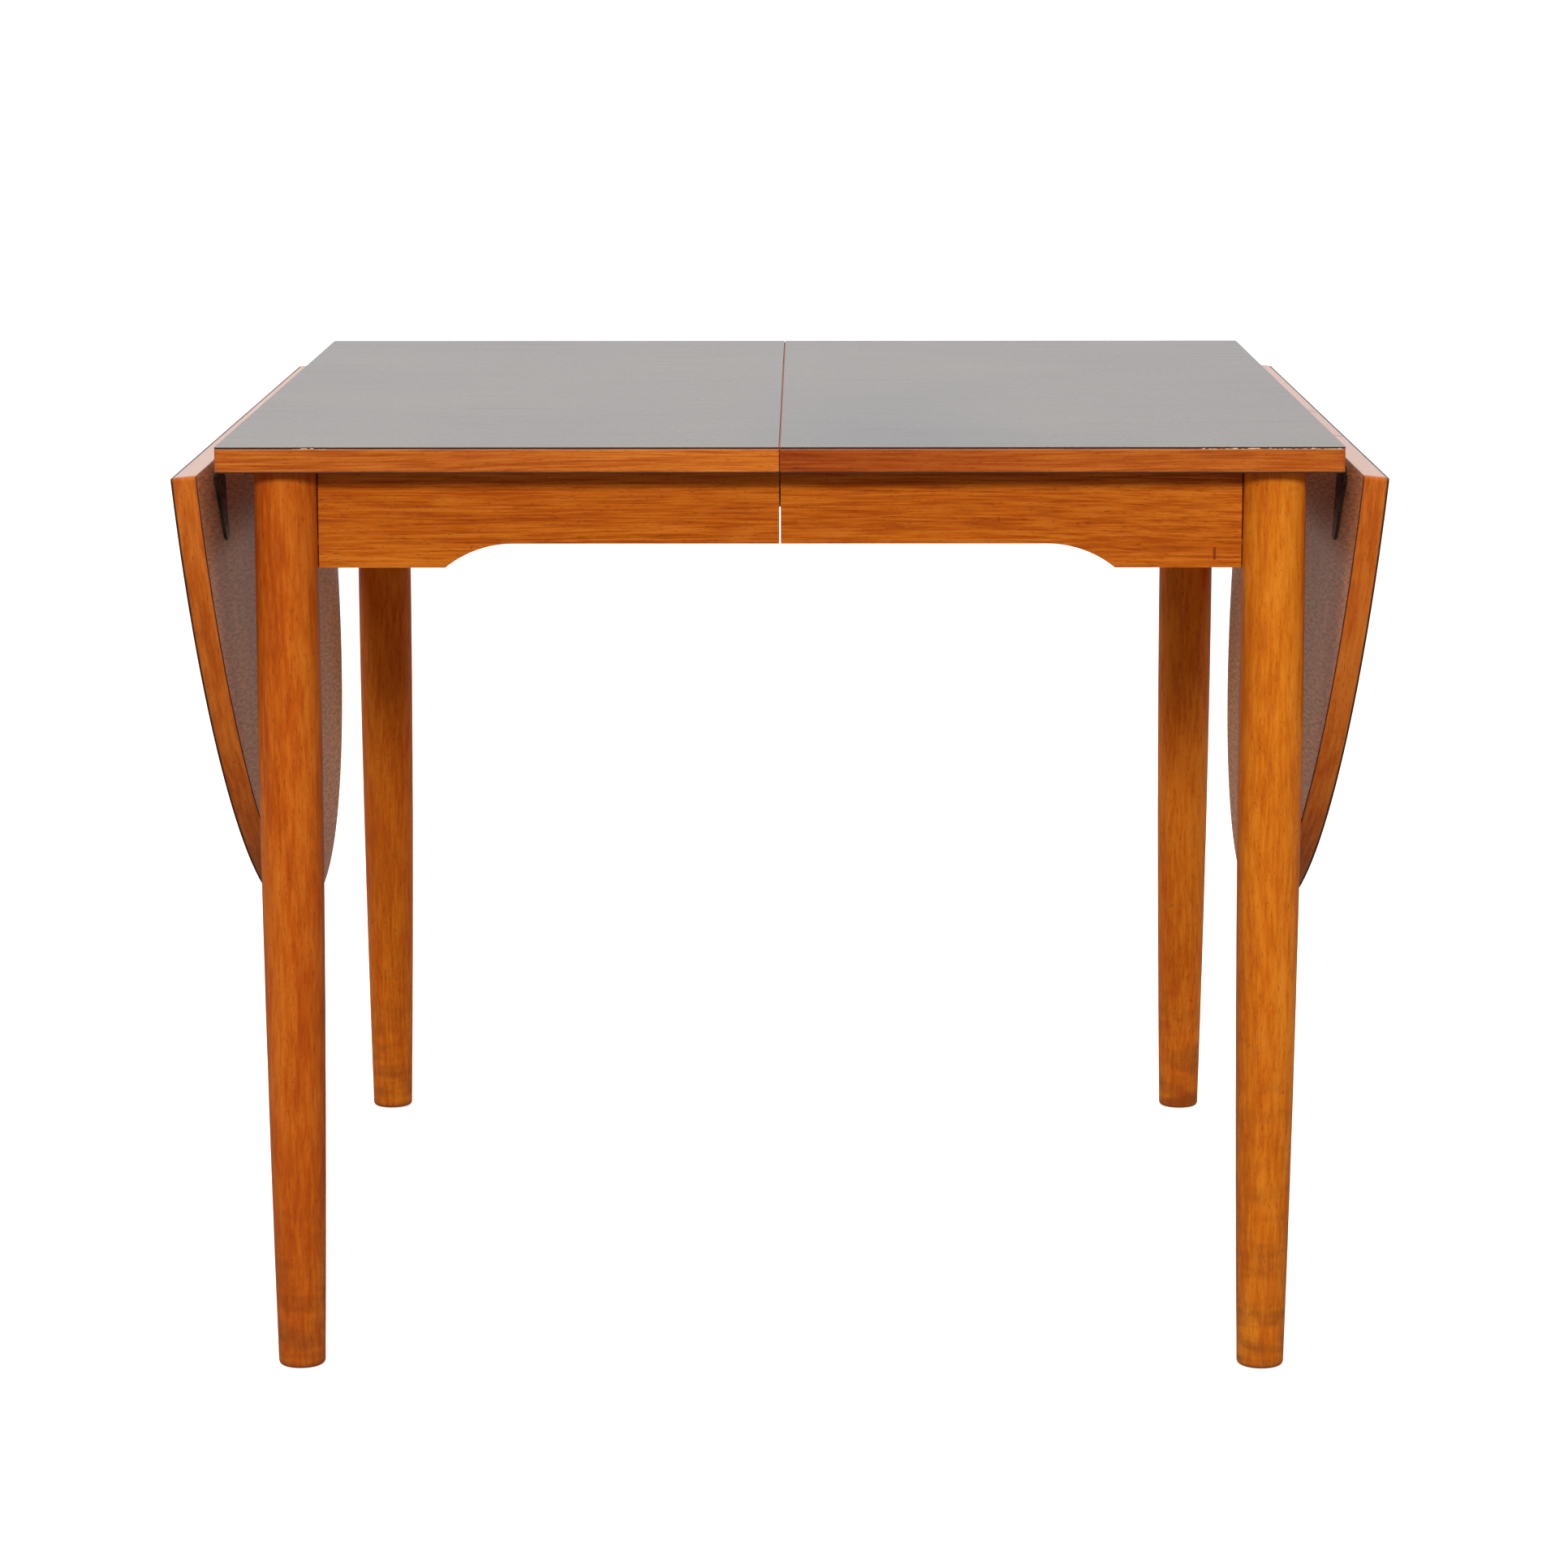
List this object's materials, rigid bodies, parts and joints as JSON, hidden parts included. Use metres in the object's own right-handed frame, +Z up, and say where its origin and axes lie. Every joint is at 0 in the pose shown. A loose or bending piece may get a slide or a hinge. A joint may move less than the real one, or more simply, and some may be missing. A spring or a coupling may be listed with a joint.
{
  "type": "drop leaf table",
  "caption": "Extending dining table with a rectangular top in two halves, round tapered legs, arched aprons and a rounded hinged leaf hanging at each end.",
  "frame": {"origin": "on the floor, under the middle of the closed table", "axes": "+X is the direction the table extends, towards the right half; -Y is the front; +Z is up"},
  "size_m": [0.9314, 0.95, 0.74],
  "materials": {
    "teak": "oiled, satin",
    "teak_edging": "oiled, satin",
    "laminate": "fine-textured satin laminate",
    "backing": "matt, speckled backing sheet",
    "chipboard": "raw",
    "beech": "waxed",
    "bronzed_steel": "dark bronzed, semi-matt",
    "screws": "aged"
  },
  "bodies": {
    "left_half": {"left_top_core": "chipboard", "left_laminate": "laminate", "left_backing": "backing", "left_front_edging": "teak_edging", "left_rear_edging": "teak_edging", "left_end_edging": "teak_edging", "left_seam_edging": "teak_edging", "front_left_leg": "teak", "rear_left_leg": "teak", "front_left_apron": "teak", "rear_left_apron": "teak", "left_end_apron": "teak", "left_corner_blocks": "beech", "left_apron_dowels": "beech", "left_front_runner": "beech", "left_rear_runner": "beech", "left_loper_guides": "beech", "left_hinge_plates": "bronzed_steel", "left_hinge_pins": "bronzed_steel", "left_plate_screws": "screws"},
    "right_half": {"right_top_core": "chipboard", "right_laminate": "laminate", "right_backing": "backing", "right_front_edging": "teak_edging", "right_rear_edging": "teak_edging", "right_end_edging": "teak_edging", "right_seam_edging": "teak_edging", "seam_pegs": "beech", "front_right_leg": "teak", "rear_right_leg": "teak", "front_right_apron": "teak", "rear_right_apron": "teak", "right_end_apron": "teak", "right_corner_blocks": "beech", "right_apron_dowels": "beech", "right_front_runner": "beech", "right_rear_runner": "beech", "right_loper_guides": "beech", "right_hinge_plates": "bronzed_steel", "right_hinge_pins": "bronzed_steel", "right_plate_screws": "screws"},
    "left_leaf": {"left_leaf_core": "chipboard", "left_leaf_laminate": "laminate", "left_leaf_backing": "backing", "left_leaf_curved_edging": "teak_edging", "left_leaf_joint_edging": "teak_edging", "left_hinge_straps": "bronzed_steel", "left_strap_screws": "screws"},
    "right_leaf": {"right_leaf_core": "chipboard", "right_leaf_laminate": "laminate", "right_leaf_backing": "backing", "right_leaf_curved_edging": "teak_edging", "right_leaf_joint_edging": "teak_edging", "right_hinge_straps": "bronzed_steel", "right_strap_screws": "screws"},
    "front_left_loper": {"front_left_loper": "beech"},
    "rear_left_loper": {"rear_left_loper": "beech"},
    "front_right_loper": {"front_right_loper": "beech"},
    "rear_right_loper": {"rear_right_loper": "beech"}
  },
  "joints": [
    {"name": "extension", "type": "slide", "parent": "left_half", "child": "right_half", "axis": [1, 0, 0], "range_m": [0, 0.46]},
    {"name": "left_leaf_hinge", "type": "hinge", "parent": "left_half", "child": "left_leaf", "pos_m": [-0.4382, 0, 0.7129], "axis": [0, 1, 0], "range_deg": [-3.5, 95.6]},
    {"name": "right_leaf_hinge", "type": "hinge", "parent": "right_half", "child": "right_leaf", "pos_m": [0.4382, 0, 0.7129], "axis": [0, -1, 0], "range_deg": [-3.5, 95.6]},
    {"name": "front_left_loper_slide", "type": "slide", "parent": "left_half", "child": "front_left_loper", "axis": [-1, 0, 0], "range_m": [0, 0.038]},
    {"name": "rear_left_loper_slide", "type": "slide", "parent": "left_half", "child": "rear_left_loper", "axis": [-1, 0, 0], "range_m": [0, 0.038]},
    {"name": "front_right_loper_slide", "type": "slide", "parent": "right_half", "child": "front_right_loper", "axis": [1, 0, 0], "range_m": [0, 0.038]},
    {"name": "rear_right_loper_slide", "type": "slide", "parent": "right_half", "child": "rear_right_loper", "axis": [1, 0, 0], "range_m": [0, 0.038]}
  ]
}
